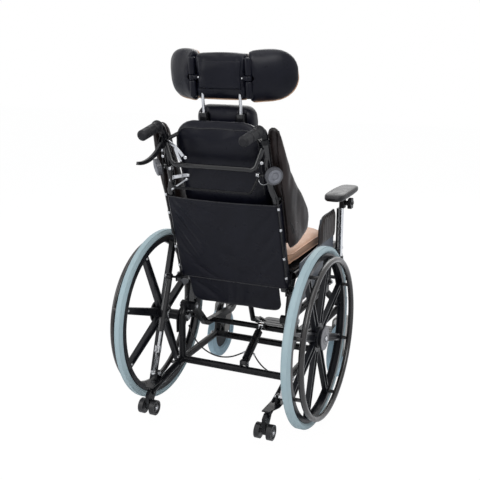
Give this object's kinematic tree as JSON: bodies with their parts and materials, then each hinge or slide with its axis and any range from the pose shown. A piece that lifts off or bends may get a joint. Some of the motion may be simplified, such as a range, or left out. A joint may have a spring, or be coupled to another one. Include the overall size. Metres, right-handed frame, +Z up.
{
  "type": "tilt in space wheelchair",
  "caption": "Attendant tilt in space wheelchair with reclining winged back, headrest, height-adjustable arms, swing-up legrests, spoked wheels, casters and anti-tip rollers.",
  "frame": {"origin": "on the floor, midway between the two rear wheels, straight below their axle line", "axes": "+Z up, +X towards the sitter's left, -Y forward (the way the chair faces)"},
  "size_m": [0.675, 1.0257, 1.223],
  "materials": {
    "frame_black": "satin",
    "wheel_black": "satin",
    "tyre_blue": "matt, moulded",
    "caster_tyre": "matt, moulded",
    "handrim_black": "gloss",
    "fork_grey": "satin",
    "bright_steel": "polished",
    "zinc_steel": "satin",
    "black_plastic": "satin",
    "grey_plastic": "satin",
    "skirt_grey": "satin",
    "grip_rubber": "matt",
    "cable_black": "satin",
    "back_leatherette": "soft sheen",
    "wing_leatherette": "soft sheen",
    "tan_leatherette": "soft sheen",
    "arm_pad_black": "soft sheen"
  },
  "bodies": {
    "base": {"base_side_frame_left": "frame_black", "base_side_frame_right": "frame_black", "base_cross_tubes": "frame_black", "anti_tip_arms": "frame_black", "base_fasteners": "zinc_steel", "lock_brackets": "frame_black"},
    "seat": {"seat_frame": "frame_black", "seat_cushion": "tan_leatherette", "side_panels": "skirt_grey"},
    "back": {"back_frame": "frame_black", "back_cushion": "back_leatherette", "back_cover": "back_leatherette", "back_wing_left": "wing_leatherette", "back_wing_right": "wing_leatherette", "cane_cables": "cable_black", "lever_cable": "cable_black"},
    "release_bar": {"release_bar": "frame_black"},
    "headrest": {"headrest_posts": "bright_steel", "headrest_pad": "back_leatherette"},
    "hand_lever": {"hand_lever": "black_plastic"},
    "centre_strut_body": {"centre_strut_body": "frame_black", "cable_loop_left": "cable_black", "cable_loop_right": "cable_black"},
    "centre_strut_rod": {"centre_strut_rod": "bright_steel"},
    "rear_wheel_left": {"mag_wheel_left": "wheel_black", "rear_tyre_left": "tyre_blue", "handrim_left": "handrim_black"},
    "caster_fork_left": {"caster_fork_left": "fork_grey"},
    "caster_wheel_left": {"caster_wheel_left": "caster_tyre"},
    "anti_tip_rollers_left": {"anti_tip_rollers_left": "grey_plastic"},
    "wheel_lock_left": {"wheel_lock_left": "zinc_steel"},
    "tilt_spring_rod_left": {"tilt_spring_rod_left": "zinc_steel"},
    "tilt_spring_body_left": {"tilt_spring_body_left": "frame_black"},
    "arm_left": {"arm_post_left": "bright_steel", "arm_pad_left": "arm_pad_black"},
    "arm_knob_left": {"arm_knob_left": "black_plastic"},
    "legrest_left": {"legrest_left": "frame_black"},
    "footplate_left": {"footplate_left": "black_plastic"},
    "push_handle_left": {"push_handle_left": "frame_black", "grip_left": "grip_rubber"},
    "handle_knob_left": {"handle_knob_left": "grey_plastic"},
    "headrest_wing_left": {"headrest_wing_left": "back_leatherette"},
    "rear_wheel_right": {"mag_wheel_right": "wheel_black", "rear_tyre_right": "tyre_blue", "handrim_right": "handrim_black"},
    "caster_fork_right": {"caster_fork_right": "fork_grey"},
    "caster_wheel_right": {"caster_wheel_right": "caster_tyre"},
    "anti_tip_rollers_right": {"anti_tip_rollers_right": "grey_plastic"},
    "wheel_lock_right": {"wheel_lock_right": "zinc_steel"},
    "tilt_spring_rod_right": {"tilt_spring_rod_right": "zinc_steel"},
    "tilt_spring_body_right": {"tilt_spring_body_right": "frame_black"},
    "arm_right": {"arm_post_right": "bright_steel", "arm_pad_right": "arm_pad_black"},
    "arm_knob_right": {"arm_knob_right": "black_plastic"},
    "legrest_right": {"legrest_right": "frame_black"},
    "footplate_right": {"footplate_right": "black_plastic"},
    "push_handle_right": {"push_handle_right": "frame_black", "grip_right": "grip_rubber"},
    "handle_knob_right": {"handle_knob_right": "grey_plastic"},
    "headrest_wing_right": {"headrest_wing_right": "back_leatherette"}
  },
  "joints": [
    {"name": "seat_tilt", "type": "hinge", "parent": "base", "child": "seat", "pos_m": [0, -0.012, 0.338], "axis": [-1, 0, 0], "range_deg": [0, 25]},
    {"name": "rear_wheel_spin_left", "type": "hinge", "parent": "base", "child": "rear_wheel_left", "pos_m": [0.289, 0, 0.3], "axis": [1, 0, 0], "continuous": true},
    {"name": "caster_swivel_left", "type": "hinge", "parent": "base", "child": "caster_fork_left", "pos_m": [0.246, -0.425, 0.2], "axis": [0, 0, 1], "continuous": true},
    {"name": "caster_spin_left", "type": "hinge", "parent": "caster_fork_left", "child": "caster_wheel_left", "pos_m": [0.246, -0.39, 0.098], "axis": [1, 0, 0], "continuous": true},
    {"name": "anti_tip_spin_left", "type": "hinge", "parent": "base", "child": "anti_tip_rollers_left", "pos_m": [0.208, 0.245, 0.062], "axis": [1, 0, 0], "continuous": true},
    {"name": "wheel_lock_lever_left", "type": "hinge", "parent": "base", "child": "wheel_lock_left", "pos_m": [0.24, -0.318, 0.39], "axis": [-1, 0, 0], "range_deg": [0, 25]},
    {"name": "tilt_spring_swing_left", "type": "hinge", "parent": "base", "child": "tilt_spring_rod_left", "pos_m": [0.232, 0.165, 0.146], "axis": [-1, 0, 0], "range_deg": [0, 5.95]},
    {"name": "tilt_spring_slide_left", "type": "slide", "parent": "tilt_spring_rod_left", "child": "tilt_spring_body_left", "axis": [0, 0.3646, -0.9312], "range_m": [0, 0.0461]},
    {"name": "armrest_height_left", "type": "slide", "parent": "seat", "child": "arm_left", "axis": [0, 0, 1], "range_m": [0, 0.07]},
    {"name": "armrest_knob_turn_left", "type": "hinge", "parent": "arm_left", "child": "arm_knob_left", "pos_m": [0.27, -0.385, 0.672], "axis": [1, 0, 0], "range_deg": [-180, 180]},
    {"name": "legrest_lift_left", "type": "hinge", "parent": "seat", "child": "legrest_left", "pos_m": [0.205, -0.478, 0.478], "axis": [-1, 0, 0], "range_deg": [0, 60]},
    {"name": "footplate_flip_left", "type": "hinge", "parent": "legrest_left", "child": "footplate_left", "pos_m": [0.18, -0.6175, 0.078], "axis": [0, 1, 0], "range_deg": [0, 90]},
    {"name": "push_handle_height_left", "type": "slide", "parent": "back", "child": "push_handle_left", "axis": [0, 0.299, 0.9542], "range_m": [0, 0.06]},
    {"name": "handle_knob_turn_left", "type": "hinge", "parent": "back", "child": "handle_knob_left", "pos_m": [0.197, 0.16486, 0.85448], "axis": [0.7071, 0.6747, -0.2115], "range_deg": [-180, 180]},
    {"name": "headrest_wing_fold_left", "type": "hinge", "parent": "headrest", "child": "headrest_wing_left", "pos_m": [0.094, 0.11716, 1.13319], "axis": [0, 0.1219, 0.9925], "range_deg": [0, 26]},
    {"name": "rear_wheel_spin_right", "type": "hinge", "parent": "base", "child": "rear_wheel_right", "pos_m": [-0.289, 0, 0.3], "axis": [1, 0, 0], "continuous": true},
    {"name": "caster_swivel_right", "type": "hinge", "parent": "base", "child": "caster_fork_right", "pos_m": [-0.246, -0.425, 0.2], "axis": [0, 0, 1], "continuous": true},
    {"name": "caster_spin_right", "type": "hinge", "parent": "caster_fork_right", "child": "caster_wheel_right", "pos_m": [-0.246, -0.39, 0.098], "axis": [1, 0, 0], "continuous": true},
    {"name": "anti_tip_spin_right", "type": "hinge", "parent": "base", "child": "anti_tip_rollers_right", "pos_m": [-0.208, 0.245, 0.062], "axis": [1, 0, 0], "continuous": true},
    {"name": "wheel_lock_lever_right", "type": "hinge", "parent": "base", "child": "wheel_lock_right", "pos_m": [-0.24, -0.318, 0.39], "axis": [-1, 0, 0], "range_deg": [0, 25]},
    {"name": "tilt_spring_swing_right", "type": "hinge", "parent": "base", "child": "tilt_spring_rod_right", "pos_m": [-0.232, 0.165, 0.146], "axis": [-1, 0, 0], "range_deg": [0, 5.95]},
    {"name": "tilt_spring_slide_right", "type": "slide", "parent": "tilt_spring_rod_right", "child": "tilt_spring_body_right", "axis": [0, 0.3646, -0.9312], "range_m": [0, 0.0461]},
    {"name": "armrest_height_right", "type": "slide", "parent": "seat", "child": "arm_right", "axis": [0, 0, 1], "range_m": [0, 0.07]},
    {"name": "armrest_knob_turn_right", "type": "hinge", "parent": "arm_right", "child": "arm_knob_right", "pos_m": [-0.27, -0.385, 0.672], "axis": [1, 0, 0], "range_deg": [-180, 180]},
    {"name": "legrest_lift_right", "type": "hinge", "parent": "seat", "child": "legrest_right", "pos_m": [-0.205, -0.478, 0.478], "axis": [-1, 0, 0], "range_deg": [0, 60]},
    {"name": "footplate_flip_right", "type": "hinge", "parent": "legrest_right", "child": "footplate_right", "pos_m": [-0.18, -0.6175, 0.078], "axis": [0, -1, 0], "range_deg": [0, 90]},
    {"name": "push_handle_height_right", "type": "slide", "parent": "back", "child": "push_handle_right", "axis": [0, 0.299, 0.9542], "range_m": [0, 0.06]},
    {"name": "handle_knob_turn_right", "type": "hinge", "parent": "back", "child": "handle_knob_right", "pos_m": [-0.197, 0.16486, 0.85448], "axis": [-0.7071, 0.6747, -0.2115], "range_deg": [-180, 180]},
    {"name": "headrest_wing_fold_right", "type": "hinge", "parent": "headrest", "child": "headrest_wing_right", "pos_m": [-0.094, 0.11716, 1.13319], "axis": [0, -0.1219, -0.9925], "range_deg": [0, 26]},
    {"name": "back_recline", "type": "hinge", "parent": "seat", "child": "back", "pos_m": [0, 0.012, 0.457], "axis": [-1, 0, 0], "range_deg": [0, 30]},
    {"name": "release_bar_pull", "type": "hinge", "parent": "back", "child": "release_bar", "pos_m": [0, 0.16772, 0.85358], "axis": [1, 0, 0], "range_deg": [0, 20], "stiffness_Nm_per_rad": 0.8},
    {"name": "hand_lever_squeeze", "type": "hinge", "parent": "push_handle_left", "child": "hand_lever", "pos_m": [0.17, 0.19164, 0.92992], "axis": [1, 0, 0], "range_deg": [0, 18], "stiffness_Nm_per_rad": 1},
    {"name": "headrest_height", "type": "slide", "parent": "back", "child": "headrest", "axis": [0, 0.1219, 0.9925], "range_m": [0, 0.06]},
    {"name": "centre_strut_swing", "type": "hinge", "parent": "base", "child": "centre_strut_body", "pos_m": [-0.038, 0.018, 0.172], "axis": [-1, 0, 0], "range_deg": [0, 10.4]},
    {"name": "centre_strut_slide", "type": "slide", "parent": "centre_strut_body", "child": "centre_strut_rod", "axis": [0, -0.8766, 0.4813], "range_m": [0, 0.0537]}
  ],
  "couplings": [
    {"joint": "tilt_spring_swing_left", "follows": "seat_tilt", "ratio": 0.23677},
    {"joint": "tilt_spring_slide_left", "follows": "seat_tilt", "m_per_rad": 0.1054},
    {"joint": "tilt_spring_swing_right", "follows": "seat_tilt", "ratio": 0.23677},
    {"joint": "tilt_spring_slide_right", "follows": "seat_tilt", "m_per_rad": 0.1054},
    {"joint": "centre_strut_swing", "follows": "seat_tilt", "ratio": 0.41325},
    {"joint": "centre_strut_slide", "follows": "seat_tilt", "m_per_rad": 0.12271}
  ]
}
